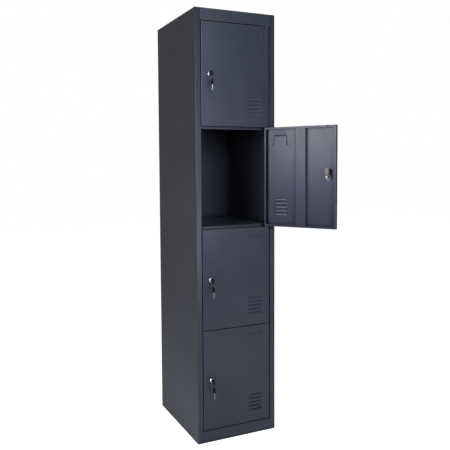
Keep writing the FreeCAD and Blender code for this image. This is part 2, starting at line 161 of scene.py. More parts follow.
class Shape:
    """A mesh in the making: its points, how rubbed and how pressed the sheet is at each, and its faces."""

    def __init__(self):
        self.points = []
        self.worn = []
        self.pressed = []
        self.faces = []

    def row(self, places, worn=0.0, pressed=0.0):
        """Adds a row of points and returns their numbers."""
        first = len(self.points)
        self.points += [tuple(place) for place in places]
        added = len(self.points) - first
        self.worn += [worn] * added
        self.pressed += [pressed] * added
        return list(range(first, first + added))

    def band(self, one, two, closed=False):
        """Four-sided faces between two rows."""
        pairs = list(zip(one, two))
        if closed:
            pairs.append(pairs[0])
        self.faces += [(a, c, d, b) for (a, b), (c, d) in zip(pairs, pairs[1:])]

    def loft(self, rows, closed=True, ends=True):
        """Faces along a series of rows, with the first and last row closed by a face each."""
        for one, two in zip(rows, rows[1:]):
            self.band(one, two, closed)
        if ends:
            self.faces.append(tuple(rows[0]))
            self.faces.append(tuple(rows[-1]))


def mesh_of(shape, name, smooth_below=32):
    mesh = bpy.data.meshes.new(name)
    mesh.from_pydata(shape.points, [], shape.faces)
    for said, values in (("worn", shape.worn), ("pressed", shape.pressed)):
        mesh.attributes.new(said, "FLOAT", "POINT").data.foreach_set("value", values)
    tidy_mesh(mesh, smooth_below)
    return mesh


def tidy_mesh(mesh, smooth_below=32):
    """Joins points that meet, turns every face outwards and shades round stretches smoothly."""
    work = bmesh.new()
    work.from_mesh(mesh)
    bmesh.ops.remove_doubles(work, verts=work.verts, dist=1e-6)
    bmesh.ops.dissolve_degenerate(work, edges=work.edges, dist=1e-7)
    bmesh.ops.recalc_face_normals(work, faces=work.faces)
    work.to_mesh(mesh)
    work.free()
    mesh.shade_smooth()
    mesh.set_sharp_from_angle(angle=math.radians(smooth_below))


def show(mesh, name, body, slot, replaces=(), place=None, finish=None):
    """Puts a mesh in the scene as a piece that moves with a body."""
    if place is not None:
        mesh = mesh.copy()
        mesh.transform(place)
        mesh.name = name
    piece = bpy.data.objects.new(name, mesh)
    bpy.context.scene.collection.objects.link(piece)
    mesh.materials.clear()
    mesh.materials.append(FINISHES[finish or slot])
    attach(piece, body)
    if replaces:
        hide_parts(*replaces)


def applied(mesh, kind, settings):
    """The mesh with a modifier worked in."""
    holder = bpy.data.objects.new("holder", mesh)
    bpy.context.scene.collection.objects.link(holder)
    modifier = holder.modifiers.new(kind.lower(), kind)
    for setting, value in settings.items():
        setattr(modifier, setting, value)
    bpy.context.view_layer.update()
    result = bpy.data.meshes.new_from_object(holder.evaluated_get(bpy.context.evaluated_depsgraph_get()))
    bpy.data.objects.remove(holder)
    return result


def cut_from(mesh, cutter, crossing=False):
    """The mesh with the cutter's volume taken out.  A crossing cutter's own parts overlap."""
    tool = bpy.data.objects.new("cutter", cutter)
    bpy.context.scene.collection.objects.link(tool)
    settings = {"operation": "DIFFERENCE", "solver": "EXACT", "use_self": crossing, "object": tool}
    result = applied(mesh, "BOOLEAN", settings)
    bpy.data.objects.remove(tool)
    return result


def folded_line(corners, side, bend=FOLD, thick=SHEET):
    """Both faces of a sheet folded at each corner of a flat line: rows of (face, other face, worn).

    The corners are on one face.  The sheet lies on its left where side is 1, on its right where -1."""
    corners = [Vector(corner) for corner in corners]
    ways = [(b - a).normalized() for a, b in zip(corners, corners[1:])]

    def left(way):
        return Vector((-way.y, way.x))

    rows = [(corners[0], corners[0] + left(ways[0]) * side * thick, 0.0)]
    for corner, way_in, way_out in zip(corners[1:-1], ways, ways[1:]):
        turn = math.atan2(way_in.cross(way_out), way_in.dot(way_out))
        folds_over_sheet = turn * side > 0
        near = bend + thick if folds_over_sheet else bend
        far = bend if folds_over_sheet else bend + thick
        inwards = left(way_in) * math.copysign(1, turn)
        centre = corner - way_in * near * math.tan(abs(turn) / 2) + inwards * near
        start = centre - way_in * WORN_EDGE
        rows.append((start - inwards * near, start - inwards * far, 0.0))
        for step in range(FOLD_STEPS + 1):
            out = Matrix.Rotation(turn * step / FOLD_STEPS, 2) @ -inwards
            rows.append((centre + out * near, centre + out * far, 1.0))
        start = centre + way_out * WORN_EDGE
        rows.append((start + out * near, start + out * far, 0.0))
    rows.append((corners[-1], corners[-1] + left(ways[-1]) * side * thick, 0.0))
    return rows


def add_folded(shape, rows, place, reach):
    """Draws a folded line out across its plane.  reach(u, v) gives the low and high end there."""
    sides = []
    for which in (0, 1):
        for end in (0, 1):
            numbers = []
            for row in rows:
                u, v = row[which]
                numbers += shape.row([place(u, v, reach(u, v)[end])], row[2])
            sides.append(numbers)
    face_low, face_high, other_low, other_high = sides
    shape.band(face_low, face_high)
    shape.band(other_low, other_high)
    shape.band(face_low, other_low)
    shape.band(face_high, other_high)
    for end in (0, -1):
        shape.faces.append((face_low[end], face_high[end], other_high[end], other_low[end]))


def add_block(shape, low, high):
    """A plain flat strip of sheet."""
    (left, front, bottom), (right, back, top) = low, high
    corners = [(left, front), (right, front), (right, back), (left, back)]
    shape.loft([shape.row([(x, y, level) for x, y in corners]) for level in (bottom, top)])


def spread(low, high, count):
    """Evenly spaced values from low to high, with a number of steps between them."""
    return [low + (high - low) * step / count for step in range(count + 1)]


def circle(radius, steps):
    angles = [2 * math.pi * step / steps for step in range(steps)]
    return [Vector((radius * math.cos(angle), radius * math.sin(angle))) for angle in angles]


def add_turned(shape, profile, centre=(0, 0, 0), steps=64, closed=False):
    """A turned piece whose axis is the Y direction.  The profile is pairs of (radius, along)."""
    x, y, z = centre
    rows = []
    for radius, along in profile:
        rows.append(shape.row([(x + p.x, y + along, z + p.y) for p in circle(radius, steps)]))
    if closed:
        rows.append(rows[0])
    shape.loft(rows, ends=not closed)


def inset(outline, amount):
    """A closed outline moved inwards by an amount; its points run anticlockwise."""
    moved = []
    for index, point in enumerate(outline):
        before = (point - outline[index - 1]).normalized()
        after = (outline[(index + 1) % len(outline)] - point).normalized()
        middle = (Vector((-before.y, before.x)) + Vector((-after.y, after.x))).normalized()
        slant = max(middle.dot(Vector((-before.y, before.x))), 0.5)
        moved.append(point + middle * amount / slant)
    return moved


def add_plate(shape, outline, low, high, edge, place):
    """A flat plate with softened edges."""
    bulge = edge * 0.3
    levels = [(low, edge), (low + bulge, bulge), (low + edge, 0.0)]
    levels += [(high - edge, 0.0), (high - bulge, bulge), (high, edge)]
    rows = []
    for level, amount in levels:
        rows.append(shape.row([place(p.x, p.y, level) for p in inset(outline, amount)]))
    shape.loft(rows)


def rounded_outline(corners, steps=6):
    """A closed outline with each corner (x, y, radius) rounded, run anticlockwise."""
    outline = []
    count = len(corners)
    for index, (x, y, radius) in enumerate(corners):
        corner = Vector((x, y))
        before = (Vector(corners[index - 1][:2]) - corner).normalized()
        after = (Vector(corners[(index + 1) % count][:2]) - corner).normalized()
        half = before.angle(after) / 2
        centre = corner + (before + after).normalized() * radius / math.sin(half)
        start = corner + before * radius / math.tan(half) - centre
        sweep = math.pi - 2 * half
        for step in range(steps + 1):
            outline.append(centre + Matrix.Rotation(sweep * step / steps, 2) @ start)
    return outline


# ---- finishes ----------------------------------------------------------------------------------


class Value:
    """The output of a node; arithmetic on it adds Math nodes."""

    def __init__(self, graph, socket):
        self.graph = graph
        self.socket = socket

    def math(self, operation, *values):
        return self.graph.node("ShaderNodeMath", {"operation": operation}, dict(enumerate(values)))

    def __add__(self, other):
        return self.math("ADD", self, other)

    def __sub__(self, other):
        return self.math("SUBTRACT", self, other)

    def __rsub__(self, other):
        return self.math("SUBTRACT", other, self)

    def __mul__(self, other):
        return self.math("MULTIPLY", self, other)

    def __pow__(self, other):
        return self.math("POWER", self, other)

    __radd__ = __add__
    __rmul__ = __mul__


class Finish:
    """A material's nodes, around one Principled shader."""

    def __init__(self, name, **even):
        """even: what is the same all over, by the shader's own socket names with _ for a space."""
        self.material = bpy.data.materials.new(name)
        self.material.use_nodes = True
        self.tree = self.material.node_tree
        self.tree.nodes.clear()
        output = self.tree.nodes.new("ShaderNodeOutputMaterial")
        self.shader = self.tree.nodes.new("ShaderNodeBsdfPrincipled")
        self.tree.links.new(self.shader.outputs[0], output.inputs[0])
        for socket, value in even.items():
            self.shader.inputs[socket.replace("_", " ")].default_value = value

    def node(self, kind, settings, sockets, output=None):
        """Adds a node: its settings first, then its sockets by name or number.  Returns an output."""
        node = self.tree.nodes.new(kind)
        for setting, value in settings.items():
            setattr(node, setting, value)
        inputs = [socket for socket in node.inputs if socket.enabled]
        for key, value in sockets.items():
            wanted = inputs[key] if isinstance(key, int) else next(s for s in inputs if s.name == key)
            self.feed(wanted, value)
        outputs = [socket for socket in node.outputs if socket.enabled]
        found = outputs[0] if output is None else next(s for s in outputs if s.name == output)
        return Value(self, found)

    def feed(self, socket, value):
        if isinstance(value, Value):
            self.tree.links.new(value.socket, socket)
        else:
            socket.default_value = value

    def set(self, **varying):
        for socket, value in varying.items():
            self.feed(self.shader.inputs[socket.replace("_", " ")], value)

    def places(self, stretch=(1, 1, 1)):
        """Points of the surface in the piece's own metres."""
        spot = self.node("ShaderNodeTexCoord", {}, {}, "Object")
        return self.node("ShaderNodeMapping", {}, {"Vector": spot, "Scale": stretch})

    def noise(self, places, scale, detail=3.0, rough=0.5, warp=0.0):
        """Cloudy noise from 0 to 1; the higher its scale, the finer it is."""
        grain = {"Scale": scale, "Detail": detail, "Roughness": rough, "Distortion": warp}
        return self.node("ShaderNodeTexNoise", {}, {"Vector": places, **grain}, "Fac")

    def ramp(self, value, low, high):
        """0 below low, 1 above high and smooth between them."""
        sockets = {"Value": value, "From Min": low, "From Max": high}
        return self.node("ShaderNodeMapRange", {"interpolation_type": "SMOOTHSTEP"}, sockets)

    def blend(self, share, one, two):
        """A colour between two colours."""
        sockets = {"Factor": share, "A": colour(one), "B": colour(two)}
        return self.node("ShaderNodeMix", {"data_type": "RGBA"}, sockets)

    def measured(self, name):
        """What a mesh says at each point, 0 where it says nothing."""
        return self.node("ShaderNodeAttribute", {"attribute_name": name}, {}, "Fac")

    def occlusion(self, reach):
        """How far a place lies in a fold or a gap, by ambient occlusion: 0 in the open, 1 where there is no way
        out.  It sets where shade is painted into a colour.
        """
        return 1 - self.node("ShaderNodeAmbientOcclusion", {"samples": 6}, {"Distance": reach}, "AO")

    def bump(self, height, strength, distance, under=None):
        sockets = {"Height": height, "Strength": strength, "Distance": distance}
        if under is not None:
            sockets["Normal"] = under
        return self.node("ShaderNodeBump", {}, sockets)


def colour(shade):
    return (*shade, 1.0) if isinstance(shade, tuple) else shade


def powder_coat():
    """Satin dark blue-grey powder coat: fine orange peel, clouding, handling marks, rubbed folds, painted light
    over the pressings and painted shade in folds and gaps."""
    deep_blue = (0.0295, 0.0320, 0.0415)
    pale_blue = (0.0345, 0.0370, 0.0470)
    # pale steel colour: rubbed folds show it, and it is also the painted light that lifts the pressings
    bare_and_painted_light = (0.085, 0.09, 0.115)
    dust_grey = (0.16, 0.16, 0.16)
    # near-black colour of the painted shade in folds and gaps
    painted_shade_colour = (0.003, 0.003, 0.004)
    finish = Finish("powder_coat", IOR=1.5, Specular_IOR_Level=0.36)
    places = finish.places()
    peel = finish.noise(places, 520, detail=2.0)
    grit = finish.noise(places, 2600, detail=1.0)
    cloud = finish.noise(places, 5.5, detail=4.0, rough=0.55)
    hands = finish.noise(finish.places((1.0, 1.0, 0.35)), 16, detail=5.0, rough=0.6, warp=0.8)
    handled = finish.ramp(hands, 0.45, 0.75)
    dust = finish.ramp(finish.noise(places, 95, detail=6.0, rough=0.7), 0.52, 0.78)
    rubbed = finish.measured("worn") * finish.ramp(finish.noise(places, 60, detail=4.0), 0.38, 0.62)
    pressed = finish.measured("pressed")
    # Painted shade: ambient occlusion darkens the colour towards near black in folds, gaps and under lips, but not
    # on the pressings.
    painted_shade = finish.ramp(finish.occlusion(SHADE_REACH), 0.12, 0.62) * (1 - pressed)
    base = finish.blend(finish.ramp(cloud, 0.3, 0.7), deep_blue, pale_blue)
    dusted = finish.blend(dust * 0.10, base, dust_grey)
    # Painted light: the pressed louvre hoods and card groove are lightened towards the pale steel colour to offset
    # the shade that falls in them.
    painted_light_on_pressings = finish.blend(pressed * 0.7, dusted, bare_and_painted_light)
    worked = finish.blend(rubbed * 0.55, painted_light_on_pressings, bare_and_painted_light)
    coarse = finish.bump(peel, 0.10, 0.00025)
    finish.set(
        # the painted shade laid over the paint's own colour
        Base_Color=finish.blend(painted_shade * 0.95, worked, painted_shade_colour),
        Roughness=0.27 + cloud * 0.04 + handled * 0.05 + dust * 0.04 - rubbed * 0.06,
        Normal=finish.bump(grit, 0.06, 0.00006, coarse),
    )
    return finish.material


def chrome():
    """Polished chrome plate with fine turning lines, wipe marks and a little tarnish."""
    finish = Finish("chrome", Metallic=1.0)
    places = finish.places()
    swirl = finish.noise(finish.places((1.0, 14.0, 1.0)), 260, detail=3.0)
    haze = finish.noise(places, 190, detail=5.0, rough=0.65)
    pits = finish.ramp(finish.noise(places, 2100, detail=2.0), 0.66, 0.76)
    dull = finish.ramp(haze, 0.4, 0.7) * 0.5 + pits * 0.3
    finish.set(
        Base_Color=finish.blend(dull, (0.78, 0.78, 0.79), (0.5, 0.5, 0.51)),
        Roughness=0.10 + haze * 0.14 + swirl * 0.08 + pits * 0.2,
        Normal=finish.bump(swirl, 0.10, 0.00005),
    )
    return finish.material


def bright_steel():
    """Nickel-plated steel with drawn lines and small scratches."""
    finish = Finish("bright_steel", Metallic=1.0)
    places = finish.places()
    lines = finish.noise(finish.places((1.0, 9.0, 1.0)), 420, detail=4.0)
    stain = finish.noise(places, 120, detail=5.0, rough=0.6)
    finish.set(
        Base_Color=finish.blend(finish.ramp(stain, 0.38, 0.68), (0.66, 0.655, 0.64), (0.50, 0.49, 0.47)),
        Roughness=0.32 + lines * 0.16 + stain * 0.08,
        Normal=finish.bump(lines, 0.12, 0.00005),
    )
    return finish.material


def ring_steel():
    """Blued spring steel, bright only where the turns rub."""
    finish = Finish("ring_steel", Metallic=1.0)
    places = finish.places()
    rubbed = finish.ramp(finish.noise(places, 210, detail=4.0, rough=0.6), 0.55, 0.72)
    film = finish.noise(places, 900, detail=3.0)
    finish.set(
        Base_Color=finish.blend(rubbed * 0.7, (0.10, 0.10, 0.11), (0.34, 0.34, 0.34)),
        Roughness=0.42 + film * 0.14 - rubbed * 0.08,
        Normal=finish.bump(film, 0.1, 0.00004),
    )
    return finish.material


def zinc_plate():
    """Yellow-passivated zinc with a mottled sheen."""
    finish = Finish("zinc_plate", Metallic=1.0)
    places = finish.places()
    mottle = finish.noise(places, 240, detail=5.0, rough=0.6, warp=1.2)
    patch = finish.noise(places, 60, detail=2.0)
    gold = finish.blend(finish.ramp(mottle, 0.35, 0.65), (0.19, 0.17, 0.12), (0.16, 0.155, 0.13))
    finish.set(
        Base_Color=finish.blend(finish.ramp(patch, 0.45, 0.65) * 0.5, gold, (0.17, 0.14, 0.10)),
        Roughness=0.36 + mottle * 0.2,
        Normal=finish.bump(mottle, 0.15, 0.00006),
    )
    return finish.material


def key_plastic():
    """Black moulded plastic: fine texture, with scratches and scuffs from handling."""
    finish = Finish("key_plastic", IOR=1.46, Specular_IOR_Level=0.22)
    places = finish.places()
    grain = finish.noise(places, 1900, detail=3.0)
    scratches = finish.noise(finish.places((1.0, 1.0, 5.0)), 260, detail=5.0, rough=0.7)
    scuff = finish.ramp(scratches, 0.55, 0.75)
    tone = finish.noise(places, 90, detail=3.0)
    finish.set(
        Base_Color=finish.blend(scuff * 0.2 + tone * 0.1, (0.005, 0.005, 0.006), (0.045, 0.045, 0.048)),
        Roughness=0.44 + grain * 0.14 + scuff * 0.12,
        Normal=finish.bump(grain, 0.18, 0.00008),
    )
    return finish.material


def nylon():
    """Natural nylon: off-white, a little waxy, with grey rubbing marks."""
    finish = Finish("nylon", Subsurface_Weight=0.12, Subsurface_Scale=0.002, IOR=1.53)
    places = finish.places()
    rubbing = finish.noise(finish.places((1.0, 1.0, 6.0)), 330, detail=4.0)
    tone = finish.noise(places, 140, detail=3.0)
    pale = finish.blend(tone, (0.60, 0.59, 0.54), (0.50, 0.49, 0.44))
    finish.set(
        Base_Color=finish.blend(finish.ramp(rubbing, 0.55, 0.75) * 0.6, pale, (0.22, 0.22, 0.21)),
        Roughness=0.42 + tone * 0.15,
        Normal=finish.bump(rubbing, 0.1, 0.00006),
    )
    return finish.material


MAKERS = (powder_coat, chrome, bright_steel, ring_steel, zinc_plate, key_plastic, nylon)
FINISHES = {make.__name__: make() for make in MAKERS}


# ---- cabinet -----------------------------------------------------------------------------------

CABINET_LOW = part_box("left_side_panel")[0]
CABINET_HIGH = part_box("right_side_panel")[1]
WIDTH = CABINET_HIGH.x - CABINET_LOW.x
DEPTH = CABINET_HIGH.y - CABINET_LOW.y
HEIGHT = CABINET_HIGH.z
REBATE_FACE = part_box("shelf_1")[0].y - CABINET_LOW.y  # where a shelf's lip meets the rebate
REBATE_FRONT = REBATE_FACE - SHEET
RAIL_TOP = HEIGHT - FOLD_OUTER - WORN_EDGE  # where the top's rounded front edge starts


def from_corner(x, y, z):
    """A place in the cabinet's frame, from one measured from its left front lower corner."""
    return (CABINET_LOW.x + x, CABINET_LOW.y + y, z)


def make_side(name, across, node):
    """A side wall folded round to the stile and the rebate, with a welded flange at the back."""
    outer = [(STILE + REBATE, REBATE_FRONT), (STILE, REBATE_FRONT), (STILE, 0), (0, 0), (0, DEPTH)]

    def place(x, y, z):
        return from_corner(across(x), y, z)

    def reach(x, y):
        if y < SHEET / 2 and x > FOLD_OUTER:
            return 0, RAIL_TOP
        return 0, HEIGHT if x < SHEET / 2 else HEIGHT - SHEET

    shape = Shape()
    add_folded(shape, folded_line(outer, side=-1), place, reach)
    left, right = sorted((across(SHEET), across(REAR_FLANGE)))
    low = from_corner(left, DEPTH - 2 * SHEET, 0)
    high = from_corner(right, DEPTH - SHEET, HEIGHT - SHEET)
    add_block(shape, low, high)
    show(mesh_of(shape, name), name, "cabinet", "powder_coat", [node])


def make_top():
    """The top sheet with its rounded front edge, and the front rail folded down from it."""
    rail_low = HEIGHT - TOP_RAIL
    corners = [(REBATE_FRONT, rail_low), (0, rail_low), (0, HEIGHT), (DEPTH - SHEET, HEIGHT)]
    rows = folded_line(corners, side=-1)
    split = next(i for i, row in enumerate(rows) if abs(row[0].y - RAIL_TOP) < 1e-6)

    def place(y, z, x):
        return from_corner(x, y, z)

    shape = Shape()
    add_folded(shape, rows[split:], place, lambda y, z: (SHEET, WIDTH - SHEET))
    add_folded(shape, rows[: split + 1], place, lambda y, z: (STILE, WIDTH - STILE))
    show(mesh_of(shape, "top_cover"), "top_cover", "cabinet", "powder_coat", ["top_panel"])


def make_shelf(node, name):
    """A shelf with a hemmed lip in front, folded down at the back, and a flange on each side."""
    low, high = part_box(node)
    front, back = low.y - CABINET_LOW.y, high.y - CABINET_LOW.y
    corners = [(front + SHELF_HEM, low.z), (front, low.z), (front, high.z), (back, high.z), (back, low.z)]

    def place(y, z, x):
        return from_corner(x, y, z)

    shape = Shape()
    add_folded(shape, folded_line(corners, side=-1), place, lambda y, z: (SHEET, WIDTH - SHEET))
    for left in (SHEET, WIDTH - 2 * SHEET):
        flange_low = from_corner(left, front + FOLD_OUTER, low.z)
        flange_high = from_corner(left + SHEET, back - FOLD_OUTER, high.z - SHEET)
        add_block(shape, flange_low, flange_high)
    show(mesh_of(shape, name), name, "cabinet", "powder_coat", [node])


def show_softened(node, name):
    """A carried-over node of the cabinet with its edges broken, as a press and a paint line leave them."""
    mesh = frame["nodes"][node].data.copy()
    mesh.name = name
    work = bmesh.new()
    work.from_mesh(mesh)
    bmesh.ops.remove_doubles(work, verts=work.verts, dist=1e-6)
    bmesh.ops.dissolve_limit(work, angle_limit=math.radians(2), verts=work.verts, edges=work.edges)
    sharp = [e for e in work.edges if len(e.link_faces) == 2 and e.calc_face_angle() > math.radians(40)]
    bmesh.ops.bevel(
        work,
        geom=sharp,
        offset=BROKEN_EDGE,
        segments=2,
        profile=0.5,
        affect="EDGES",
        clamp_overlap=True,
    )
    work.to_mesh(mesh)
    work.free()
    tidy_mesh(mesh)
    show(mesh, name, "cabinet", "powder_coat", [node])


def make_cabinet():
    make_side("left_side", lambda x: x, "left_side_panel")
    make_side("right_side", lambda x: WIDTH - x, "right_side_panel")
    make_top()
    for shelf in (1, 2, 3):
        make_shelf(f"shelf_{shelf}", f"compartment_shelf_{shelf}")
    make_shelf("floor_panel", "compartment_floor")
    show_softened("base_frame", "base_ring")
    show_softened("hinge_tabs", "hinge_plates")


# ---- doors -------------------------------------------------------------------------------------

DOOR_LOW, DOOR_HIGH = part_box("door_4_shell")
DOOR_WIDE, DOOR_DEEP, DOOR_TALL = DOOR_HIGH - DOOR_LOW
HAT_LOW, HAT_HIGH = (corner - DOOR_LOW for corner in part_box("door_4_stiffener"))
LOCK_X = sum(corner.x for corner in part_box("lock_4_housing")) / 2 - DOOR_LOW.x
LOCK_Z = DOOR_TALL / 2
PIVOT = Vector(JOINTS["door_4_hinge"]["pos_m"]) - DOOR_LOW
LOUVRE_SLITS = [LOUVRE_RISE + row * LOUVRE_PITCH for row in range(LOUVRES)]


def door_place(door):
    """From a door's own frame to the cabinet's, with the door as it stands at rest."""
    out = JOINTS[f"lock_{door}_turn"]["axis"]
    turn = math.atan2(out[0], -out[1])
    pivot = Vector(JOINTS[f"door_{door}_hinge"]["pos_m"])
    return Matrix.Translation(pivot) @ Matrix.Rotation(turn, 4, "Z") @ Matrix.Translation(-PIVOT)


def louvre_depth(x, z):
    """How far the skin is pushed in by the hood above the nearest slit below."""
    if not LOUVRE_LEFT < x < LOUVRE_RIGHT:
        return 0.0
    from_end = min(x - LOUVRE_LEFT, LOUVRE_RIGHT - x, LOUVRE_END) / LOUVRE_END
    bulge = math.sqrt(1 - (1 - from_end) ** 2)
    for slit in LOUVRE_SLITS:
        if slit <= z < slit + LOUVRE_HOOD:
            return LOUVRE_THROW * bulge * math.sqrt(1 - ((z - slit) / LOUVRE_HOOD) ** 2)
    return 0.0


def card_line():
    """The middle line of the card holder's groove: an upside-down U with its feet turned out."""
    half = CARD_CHANNEL / 2
    left, right = CARD_LEFT + half, CARD_RIGHT - half
    top = DOOR_TALL - CARD_DROP - half
    foot = DOOR_TALL - CARD_DROP - CARD_TALL + half
    left_leg = [(left - CARD_FOOT, foot), (left, foot), (left, top)]
    return left_leg + [(right, top), (right, foot), (right + CARD_FOOT, foot)]


def card_depth(x, z):
    """How far the skin is pushed in by the groove."""
    spot = Vector((x, z))
    nearest = CARD_CHANNEL
    line = [Vector(point) for point in card_line()]
    for start, end in zip(line, line[1:]):
        along = min(max((spot - start).dot(end - start) / (end - start).length_squared, 0), 1)
        nearest = min(nearest, (spot - start - (end - start) * along).length)
    share = min(nearest / (CARD_CHANNEL / 2), 1.0)
    return CARD_PRESS * (1 - share**2) ** 1.5


def groove_lines(middle):
    """Grid lines over the card holder's groove and just outside it."""
    half = CARD_CHANNEL / 2
    return [middle - half - GUARD, *spread(middle - half, middle + half, 6), middle + half + GUARD]


def corner_lines():
    """Grid lines over the skin's rounded corners."""
    return [FOLD_OUTER, (FOLD_OUTER + DOOR_CORNER) / 2, DOOR_CORNER]


def lines_across():
    """The skin's grid lines from the free edge to the hinges."""
    lines = corner_lines() + spread(25 * MM, LOUVRE_LEFT - 12 * MM, 8)
    ends = [LOUVRE_END * (1 - math.cos(math.radians(angle))) for angle in LOUVRE_END_CURVE]
    lines += [LOUVRE_LEFT + end for end in ends] + [LOUVRE_RIGHT - end for end in ends]
    lines += [LOUVRE_LEFT - GUARD, LOUVRE_RIGHT + GUARD]
    for x, _ in card_line():
        lines += groove_lines(x)
    lines += spread(LOUVRE_LEFT + 15 * MM, LOUVRE_RIGHT - 15 * MM, 3)
    return tidy_lines(lines, DOOR_WIDE)


def lines_up():
    """The skin's grid lines from the bottom to the top."""
    lines = corner_lines() + [25 * MM]
    for slit in LOUVRE_SLITS:
        lines += [slit + LOUVRE_HOOD * math.sin(math.radians(angle)) for angle in LOUVRE_CURVE]
        lines += [slit - GUARD, slit + LOUVRE_HOOD + GUARD]
    lines += spread(150 * MM, 340 * MM, 7)
    foot, top = card_line()[0][1], card_line()[2][1]
    lines += groove_lines(foot) + groove_lines(top) + [(foot + top) / 2]
    return tidy_lines(lines, DOOR_TALL)


def tidy_lines(lines, size):
    """Sorted lines with the first three mirrored to the far end, leaving out any that nearly meet."""
    edge = sorted(lines)[:3]
    kept = list(edge)
    for line in sorted(lines)[3:]:
        if line - kept[-1] > 0.33 * MM:
            kept.append(line)
    return kept + [size - line for line in reversed(edge)]


def corner_place(x, z, edge):
    """Where a point of the skin's rim goes on the door's outline at this distance in from it."""
    radius = max(DOOR_CORNER - edge, 0)
    pull = max(DOOR_CORNER, edge)
    far_x, far_z = x > DOOR_WIDE / 2, z > DOOR_TALL / 2
    near_x = DOOR_WIDE - x if far_x else x
    near_z = DOOR_TALL - z if far_z else z
    if near_x <= DOOR_CORNER + 1e-9 and near_z <= DOOR_CORNER + 1e-9:
        # A corner's five points lie on a quarter circle.
        along = (near_x - near_z) / (DOOR_CORNER - FOLD_OUTER)
        angle = math.radians(45) * (1 + along)
        near_x = pull - radius * math.cos(angle)
        near_z = pull - radius * math.sin(angle)
    elif near_x < near_z:
        near_x = edge
    else:
        near_z = edge
    return (DOOR_WIDE - near_x if far_x else near_x, DOOR_TALL - near_z if far_z else near_z)


def door_profile():
    """From the skin round to the inner lip: (distance in from the outline, depth, worn)."""
    angles = [math.radians(90) * step / FOLD_STEPS for step in range(FOLD_STEPS + 1)]
    front = [(FOLD_OUTER * (1 - math.sin(a)), FOLD_OUTER * (1 - math.cos(a)), 1.0) for a in angles]
    back = [(inwards, DOOR_DEEP - depth, worn) for inwards, depth, worn in reversed(front)]
    rub = FOLD_OUTER + WORN_EDGE
    wall = [(0, rub, 0.0), (0, DOOR_DEEP - rub, 0.0)]
    lip = [(rub, DOOR_DEEP, 0.0), (DOOR_LIP, DOOR_DEEP, 0.0)]
    return front + wall + back + lip


def add_skin(shape):
    """The pressed skin as a grid that opens at each louvre's slit.  Returns the rim's grid places."""
    across, up = lines_across(), lines_up()
    above, below = [], []
    for z in up:
        at_slit = any(abs(z - slit) < 1e-7 for slit in LOUVRE_SLITS)
        over, under = [], []
        for x in across:
            on_rim = x in (across[0], across[-1]) or z in (up[0], up[-1])
            u, v = corner_place(x, z, FOLD_OUTER) if on_rim else (x, z)
            depth = louvre_depth(x, z) + card_depth(x, z)
            pressed = min(depth / LOUVRE_THROW, 1.0)
            if at_slit and depth > 0:
                under += shape.row([(x, 0, z)])
                over += shape.row([(x, depth, z - LOUVRE_LAP)], pressed=pressed)
            else:
                under += shape.row([(u, depth, v)], pressed=pressed)
                over.append(under[-1])
        below.append(under)
        above.append(over)
    for low, high in zip(above, below[1:]):
        shape.band(low, high)
    rim = [(x, up[0]) for x in across] + [(across[-1], z) for z in up[1:]]
    rim += [(x, up[-1]) for x in reversed(across[:-1])] + [(across[0], z) for z in reversed(up[1:-1])]
    return rim


def door_cutters():
    """What is punched out of a door: the lock's hole, the pivot holes and the hole in the upper lip."""
    shape = Shape()
    lock_hole = BARREL + LOCK_PLAY
    add_turned(shape, [(lock_hole, -PUNCH), (lock_hole, PUNCH)], (LOCK_X, 0, LOCK_Z), 48)
    pivots = [PIVOT.xy + spot for spot in circle(PIVOT_HOLE, 32)]
    levels = (-PUNCH, DOOR_TALL + PUNCH)
    shape.loft([shape.row([(spot.x, spot.y, level) for spot in pivots]) for level in levels])
    lip_middle = (LIP_HOLE_INSET, DOOR_DEEP, DOOR_TALL - DOOR_LIP / 2)
    add_turned(shape, [(LIP_HOLE, -PUNCH), (LIP_HOLE, PUNCH)], lip_middle, 32)
    return mesh_of(shape, "door_cutters")


def pan_mesh():
    """The door's pan: skin, folded edges and inner lips, as one sheet with its real thickness."""
    shape = Shape()
    rim = add_skin(shape)
    rows = []
    for edge, depth, worn in door_profile():
        spots = [corner_place(x, z, edge) for x, z in rim]
        rows.append(shape.row([(x, depth, z) for x, z in spots], worn))
    shape.loft(rows, closed=True, ends=False)
    face = mesh_of(shape, "pan_face")
    plain = Vector((DOOR_WIDE / 3, 0, DOOR_TALL / 2))
    if min(face.polygons, key=lambda polygon: (polygon.center - plain).length).normal.y > 0:
        face.flip_normals()
    pan = applied(face, "SOLIDIFY", {"thickness": SHEET, "offset": -1.0, "use_even_offset": False})
    pan = cut_from(pan, door_cutters())
    tidy_mesh(pan)
    return pan


def hat_mesh():
    """The stiffener: a hat section that stands on the skin by its flanges."""
    left, right = HAT_LOW.x + HAT_FLANGE, HAT_HIGH.x - HAT_FLANGE
    foot = SHEET * 2
    corners = [(HAT_LOW.x, foot), (left, foot), (left, HAT_HIGH.y)]
    corners += [(right, HAT_HIGH.y), (right, foot), (HAT_HIGH.x, foot)]
    rows = folded_line(corners, side=-1, bend=HAT_FOLD)
    shape = Shape()
    add_folded(shape, rows, lambda x, y, z: (x, y, z), lambda x, y: (HAT_LOW.z, HAT_HIGH.z))
    return mesh_of(shape, "hat")


def weld_mesh():
    """The raised rims of the spot welds along the stiffener's flanges."""
    crown = [(WELD - 0.2 * MM, WELD_RIM), (WELD + 0.1 * MM, WELD_RIM)]
    rim = [(WELD - 0.5 * MM, 0), *crown, (WELD + 0.4 * MM, 0)]
    shape = Shape()
    for x in (HAT_LOW.x + HAT_FLANGE / 2, HAT_HIGH.x - HAT_FLANGE / 2):
        for z in spread(HAT_LOW.z + WELD_END, HAT_HIGH.z - WELD_END, 4):
            add_turned(shape, rim, (x, SHEET * 2 - WELD_SINK, z), 24, closed=True)
    return mesh_of(shape, "welds")


